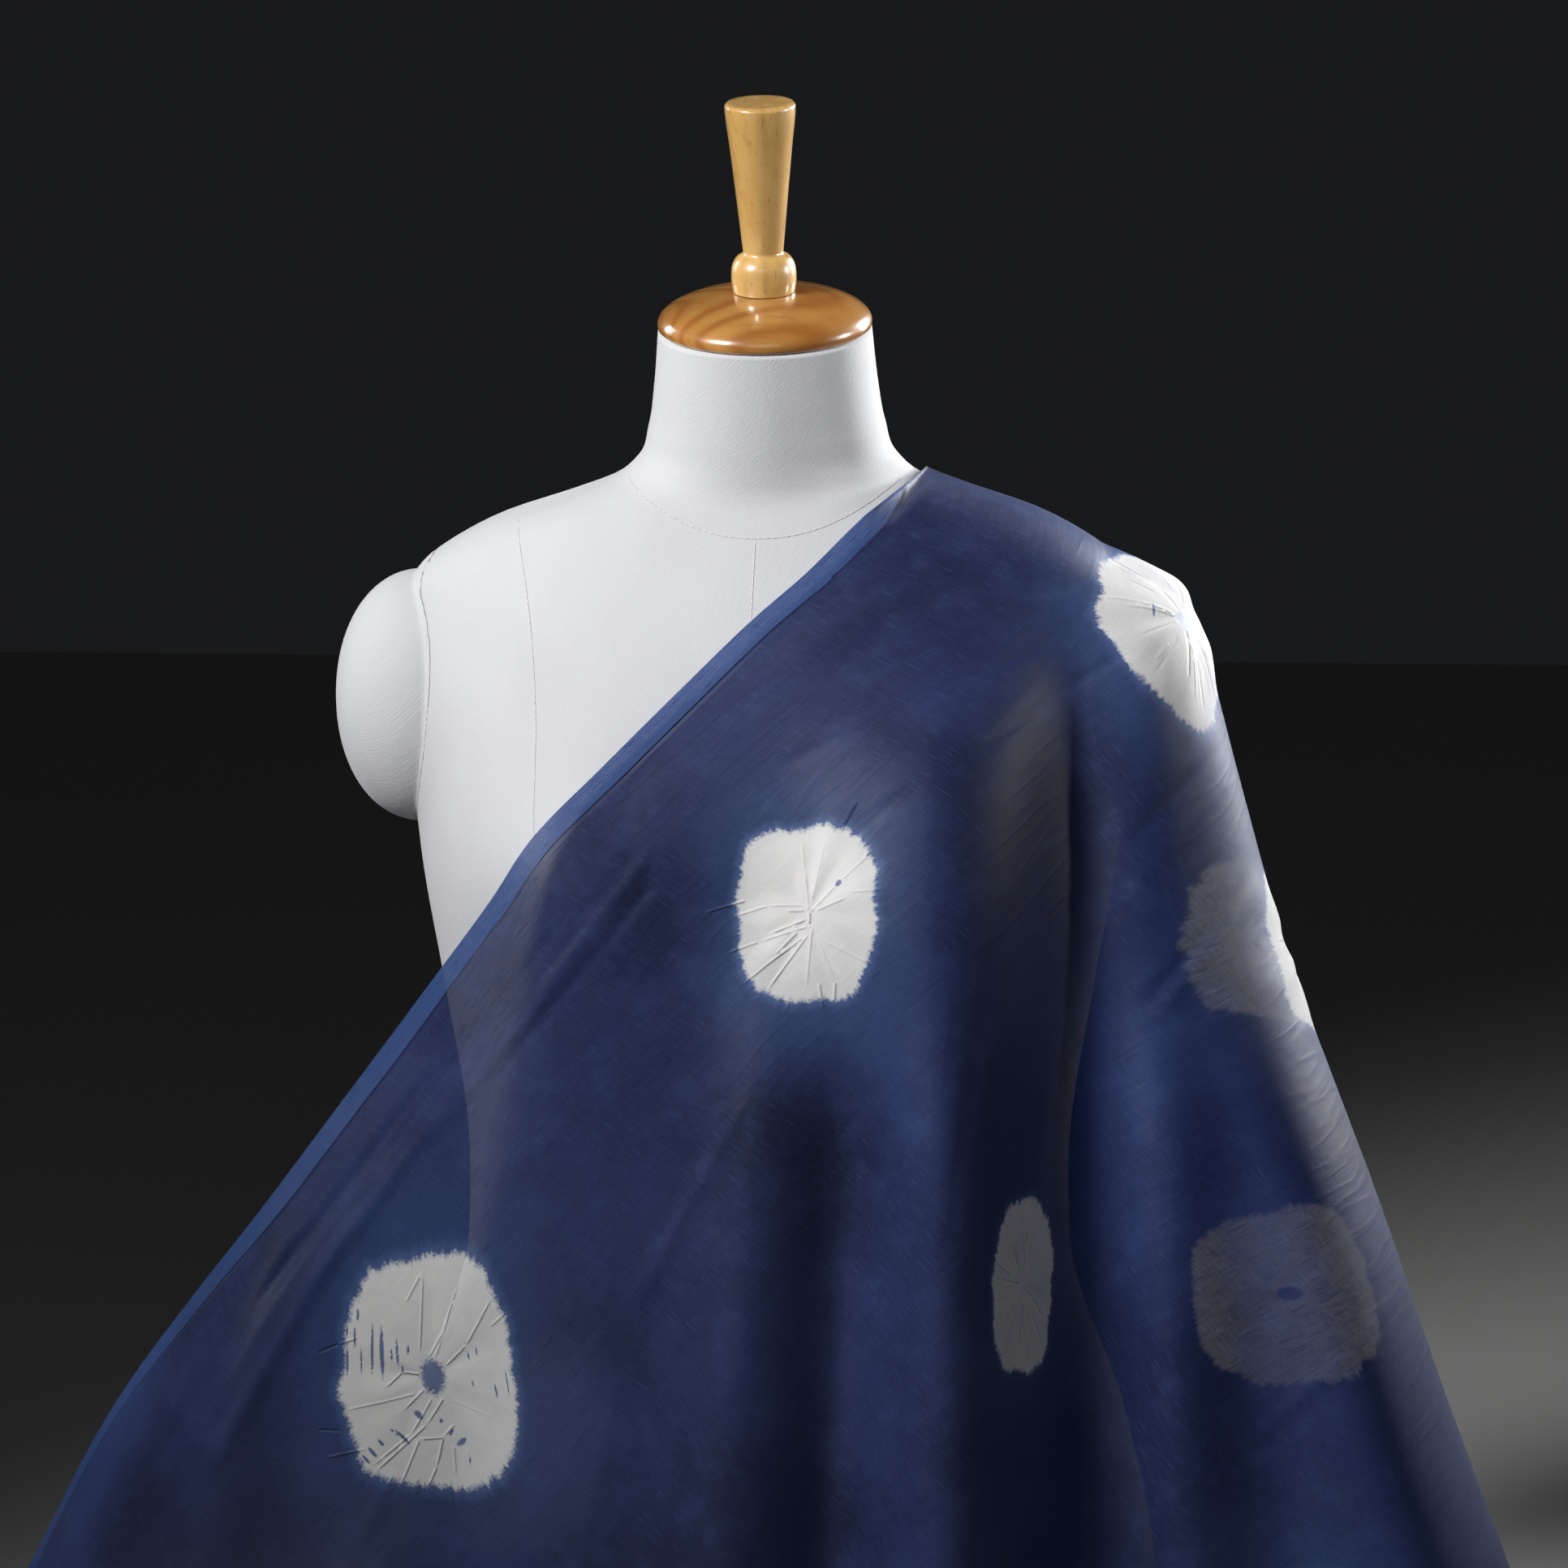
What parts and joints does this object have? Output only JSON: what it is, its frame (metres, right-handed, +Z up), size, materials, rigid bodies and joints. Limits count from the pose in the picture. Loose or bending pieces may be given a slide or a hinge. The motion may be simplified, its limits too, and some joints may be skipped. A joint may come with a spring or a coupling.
{
  "type": "shibori dyed cloth draped on a dress form",
  "caption": "Length of indigo shibori cloth draped across the chest and over one shoulder of a canvas dress form, down to the surface it stands on.",
  "frame": {"origin": "centre of the base's underside, on the surface that it stands on", "axes": "+Z up, the form faces -Y, the draped shoulder is at +X"},
  "size_m": [0.8494, 0.3572, 0.8626],
  "materials": {
    "indigo_cloth": "fine semi-sheer plain weave with a soft lustre, indigo dyed with white tied spots",
    "canvas": "off-white cotton twill with thin stitched seams",
    "cap_wood": "orange-brown turned wood, gloss varnish",
    "knob_wood": "blond turned wood, satin varnish",
    "foot_wood": "turned wood, satin varnish"
  },
  "bodies": {
    "root": {"cloth": "indigo_cloth", "torso": "canvas", "arm_stub_left": "canvas", "arm_stub_right": "canvas", "neck_cap": "cap_wood", "finial": "knob_wood", "base": "foot_wood"}
  },
  "joints": []
}
